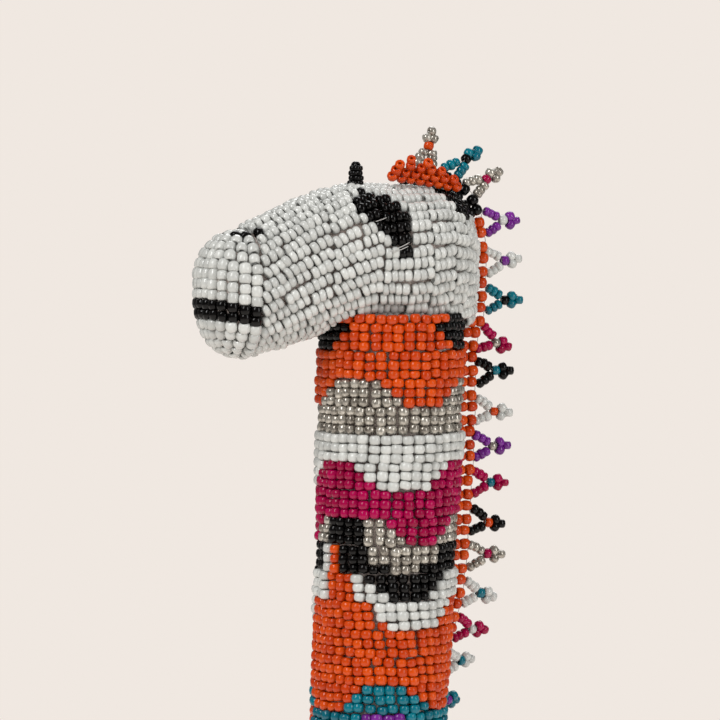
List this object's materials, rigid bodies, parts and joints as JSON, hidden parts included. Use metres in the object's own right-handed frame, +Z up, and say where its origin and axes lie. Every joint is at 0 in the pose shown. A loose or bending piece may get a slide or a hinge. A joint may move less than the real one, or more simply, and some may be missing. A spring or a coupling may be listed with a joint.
{
  "type": "beaded giraffe figure",
  "caption": "Standing giraffe woven in glass seed beads over a stuffed cloth form, with flexing ears, a looped bead mane and a hanging tail.",
  "frame": {"origin": "middle of the base, on the surface the hooves stand on", "axes": "+Z up, the body faces -Y, the giraffe's left is +X; the head is turned 30 degrees to its right"},
  "size_m": [0.0664, 0.1416, 0.4588],
  "materials": {
    "white_beads": "glossy glass beads",
    "orange_beads": "glossy glass beads",
    "magenta_beads": "glossy glass beads",
    "teal_beads": "glossy glass beads",
    "purple_beads": "glossy glass beads",
    "black_beads": "glossy glass beads",
    "silver_beads": "glossy glass beads",
    "patterned_beads": "glossy glass beads in coloured bands",
    "cloth": "plain woven cotton",
    "stuffing": "fibre filling",
    "steel_rod": "drawn steel rod"
  },
  "bodies": {
    "figure": {"neck_rod": "steel_rod", "spine_rod": "steel_rod", "leg_rod_front_left": "steel_rod", "leg_rod_front_right": "steel_rod", "leg_rod_rear_left": "steel_rod", "leg_rod_rear_right": "steel_rod", "body_beadwork": "patterned_beads", "body_cloth": "cloth", "body_stuffing": "stuffing", "neck_beadwork": "patterned_beads", "neck_cloth": "cloth", "neck_stuffing": "stuffing", "head_beadwork": "white_beads", "muzzle_beadwork": "white_beads", "head_cloth": "cloth", "head_stuffing": "stuffing", "leg_beadwork_front_left": "patterned_beads", "leg_core_front_left": "cloth", "hoof_front_left": "black_beads", "leg_beadwork_front_right": "patterned_beads", "leg_core_front_right": "cloth", "hoof_front_right": "black_beads", "leg_beadwork_rear_left": "patterned_beads", "leg_core_rear_left": "cloth", "hoof_rear_left": "black_beads", "leg_beadwork_rear_right": "patterned_beads", "leg_core_rear_right": "cloth", "hoof_rear_right": "black_beads", "forehead_horn": "black_beads", "mane_band": "orange_beads", "tail_knot": "black_beads"},
    "ear_left": {"ear_left": "orange_beads"},
    "ear_right": {"ear_right": "orange_beads"},
    "tail": {"tail_rope": "orange_beads"},
    "tassel": {"tail_tassel": "black_beads"},
    "picot_01": {"mane_picot_01": "silver_beads"},
    "picot_02": {"mane_picot_02": "teal_beads"},
    "picot_03": {"mane_picot_03": "silver_beads"},
    "picot_04": {"mane_picot_04": "purple_beads"},
    "picot_05": {"mane_picot_05": "white_beads"},
    "picot_06": {"mane_picot_06": "teal_beads"},
    "picot_07": {"mane_picot_07": "magenta_beads"},
    "picot_08": {"mane_picot_08": "black_beads"},
    "picot_09": {"mane_picot_09": "white_beads"},
    "picot_10": {"mane_picot_10": "purple_beads"},
    "picot_11": {"mane_picot_11": "magenta_beads"},
    "picot_12": {"mane_picot_12": "black_beads"},
    "picot_13": {"mane_picot_13": "silver_beads"},
    "picot_14": {"mane_picot_14": "white_beads"},
    "picot_15": {"mane_picot_15": "magenta_beads"},
    "picot_16": {"mane_picot_16": "white_beads"},
    "picot_17": {"mane_picot_17": "teal_beads"},
    "picot_18": {"mane_picot_18": "orange_beads"},
    "picot_19": {"mane_picot_19": "purple_beads"},
    "picot_20": {"mane_picot_20": "silver_beads"},
    "picot_21": {"mane_picot_21": "black_beads"},
    "picot_22": {"mane_picot_22": "teal_beads"},
    "picot_23": {"mane_picot_23": "magenta_beads"},
    "picot_24": {"mane_picot_24": "white_beads"}
  },
  "joints": [
    {"name": "ear_left_flex", "type": "hinge", "parent": "figure", "child": "ear_left", "pos_m": [0.00981, -0.02373, 0.44517], "axis": [0.4951, 0.8575, -0.1403], "range_deg": [-10, 35], "stiffness_Nm_per_rad": 0.004},
    {"name": "ear_right_flex", "type": "hinge", "parent": "figure", "child": "ear_right", "pos_m": [-0.00871, -0.01315, 0.44237], "axis": [0.6186, 0.7723, -0.1445], "range_deg": [0, 45], "stiffness_Nm_per_rad": 0.004},
    {"name": "picot_01_flex", "type": "hinge", "parent": "figure", "child": "picot_01", "pos_m": [0.00457, -0.0168, 0.44858], "axis": [0.4995, 0.8651, -0.0468], "range_deg": [-25, 25], "stiffness_Nm_per_rad": 0.001},
    {"name": "picot_02_flex", "type": "hinge", "parent": "figure", "child": "picot_02", "pos_m": [0.00784, -0.01113, 0.44693], "axis": [0.4509, 0.781, -0.4321], "range_deg": [-25, 25], "stiffness_Nm_per_rad": 0.001},
    {"name": "picot_03_flex", "type": "hinge", "parent": "figure", "child": "picot_03", "pos_m": [0.01054, -0.00646, 0.44286], "axis": [0.3312, 0.5736, -0.7492], "range_deg": [-25, 25], "stiffness_Nm_per_rad": 0.001},
    {"name": "picot_04_flex", "type": "hinge", "parent": "figure", "child": "picot_04", "pos_m": [0.01249, -0.00309, 0.43512], "axis": [0.1053, 0.1823, -0.9776], "range_deg": [-25, 25], "stiffness_Nm_per_rad": 0.001},
    {"name": "picot_05_flex", "type": "hinge", "parent": "figure", "child": "picot_05", "pos_m": [0.01267, -0.00277, 0.42521], "axis": [0, 0, -1], "range_deg": [-25, 25], "stiffness_Nm_per_rad": 0.001},
    {"name": "picot_06_flex", "type": "hinge", "parent": "figure", "child": "picot_06", "pos_m": [0.01267, -0.00277, 0.41611], "axis": [-0.0143, -0.0248, -0.9996], "range_deg": [-25, 25], "stiffness_Nm_per_rad": 0.001},
    {"name": "picot_07_flex", "type": "hinge", "parent": "figure", "child": "picot_07", "pos_m": [0.01175, -0.00438, 0.40701], "axis": [-0.1217, -0.2159, -0.9688], "range_deg": [-25, 25], "stiffness_Nm_per_rad": 0.001},
    {"name": "picot_08_flex", "type": "hinge", "parent": "figure", "child": "picot_08", "pos_m": [0.01139, -0.0051, 0.39791], "axis": [-0.0049, -0.0258, -0.9997], "range_deg": [-25, 25], "stiffness_Nm_per_rad": 0.001},
    {"name": "picot_09_flex", "type": "hinge", "parent": "figure", "child": "picot_09", "pos_m": [0.01133, -0.00541, 0.38881], "axis": [-0.0075, -0.0417, -0.9991], "range_deg": [-25, 25], "stiffness_Nm_per_rad": 0.001},
    {"name": "picot_10_flex", "type": "hinge", "parent": "figure", "child": "picot_10", "pos_m": [0.01125, -0.00586, 0.37971], "axis": [-0.0093, -0.0556, -0.9984], "range_deg": [-25, 25], "stiffness_Nm_per_rad": 0.001},
    {"name": "picot_11_flex", "type": "hinge", "parent": "figure", "child": "picot_11", "pos_m": [0.01116, -0.00642, 0.37061], "axis": [-0.0103, -0.0673, -0.9977], "range_deg": [-25, 25], "stiffness_Nm_per_rad": 0.001},
    {"name": "picot_12_flex", "type": "hinge", "parent": "figure", "child": "picot_12", "pos_m": [0.01107, -0.00708, 0.36151], "axis": [-0.0107, -0.0765, -0.997], "range_deg": [-25, 25], "stiffness_Nm_per_rad": 0.001},
    {"name": "picot_13_flex", "type": "hinge", "parent": "figure", "child": "picot_13", "pos_m": [0.01089, -0.00776, 0.35241], "axis": [-0.0668, -0.051, -0.9965], "range_deg": [-25, 25], "stiffness_Nm_per_rad": 0.001},
    {"name": "picot_14_flex", "type": "hinge", "parent": "figure", "child": "picot_14", "pos_m": [0.00951, -0.00786, 0.34331], "axis": [-0.2182, 0.0156, -0.9758], "range_deg": [-25, 25], "stiffness_Nm_per_rad": 0.001},
    {"name": "picot_15_flex", "type": "hinge", "parent": "figure", "child": "picot_15", "pos_m": [0.00701, -0.00766, 0.33421], "axis": [-0.2965, 0.0138, -0.9549], "range_deg": [-25, 25], "stiffness_Nm_per_rad": 0.001},
    {"name": "picot_16_flex", "type": "hinge", "parent": "figure", "child": "picot_16", "pos_m": [0.00408, -0.00771, 0.32511], "axis": [-0.2996, -0.0262, -0.9537], "range_deg": [-25, 25], "stiffness_Nm_per_rad": 0.001},
    {"name": "picot_17_flex", "type": "hinge", "parent": "figure", "child": "picot_17", "pos_m": [0.00154, -0.00815, 0.31601], "axis": [-0.2197, -0.0634, -0.9735], "range_deg": [-25, 25], "stiffness_Nm_per_rad": 0.001},
    {"name": "picot_18_flex", "type": "hinge", "parent": "figure", "child": "picot_18", "pos_m": [0.00022, -0.00879, 0.30691], "axis": [-0.0498, -0.0679, -0.9964], "range_deg": [-25, 25], "stiffness_Nm_per_rad": 0.001},
    {"name": "picot_19_flex", "type": "hinge", "parent": "figure", "child": "picot_19", "pos_m": [0.00017, -0.00935, 0.29781], "axis": [0, -0.0532, -0.9986], "range_deg": [-25, 25], "stiffness_Nm_per_rad": 0.001},
    {"name": "picot_20_flex", "type": "hinge", "parent": "figure", "child": "picot_20", "pos_m": [0.00017, -0.00976, 0.28871], "axis": [0, -0.0362, -0.9993], "range_deg": [-25, 25], "stiffness_Nm_per_rad": 0.001},
    {"name": "picot_21_flex", "type": "hinge", "parent": "figure", "child": "picot_21", "pos_m": [0.00017, -0.01, 0.27961], "axis": [0, -0.0175, -0.9998], "range_deg": [-25, 25], "stiffness_Nm_per_rad": 0.001},
    {"name": "picot_22_flex", "type": "hinge", "parent": "figure", "child": "picot_22", "pos_m": [0.00017, -0.01007, 0.27051], "axis": [0, 0.0026, -1], "range_deg": [-25, 25], "stiffness_Nm_per_rad": 0.001},
    {"name": "picot_23_flex", "type": "hinge", "parent": "figure", "child": "picot_23", "pos_m": [0.00017, -0.00995, 0.26141], "axis": [0, 0.024, -0.9997], "range_deg": [-25, 25], "stiffness_Nm_per_rad": 0.001},
    {"name": "picot_24_flex", "type": "hinge", "parent": "figure", "child": "picot_24", "pos_m": [0.00017, -0.00963, 0.25231], "axis": [0, 0.0464, -0.9989], "range_deg": [-25, 25], "stiffness_Nm_per_rad": 0.001},
    {"name": "tail_swing", "type": "hinge", "parent": "figure", "child": "tail", "pos_m": [0.00017, 0.06634, 0.20053], "axis": [0, 1, 0], "range_deg": [-35, 35]},
    {"name": "tassel_swing", "type": "hinge", "parent": "tail", "child": "tassel", "pos_m": [0.00017, 0.06634, 0.14483], "axis": [1, 0, 0], "range_deg": [-10, 35]}
  ]
}
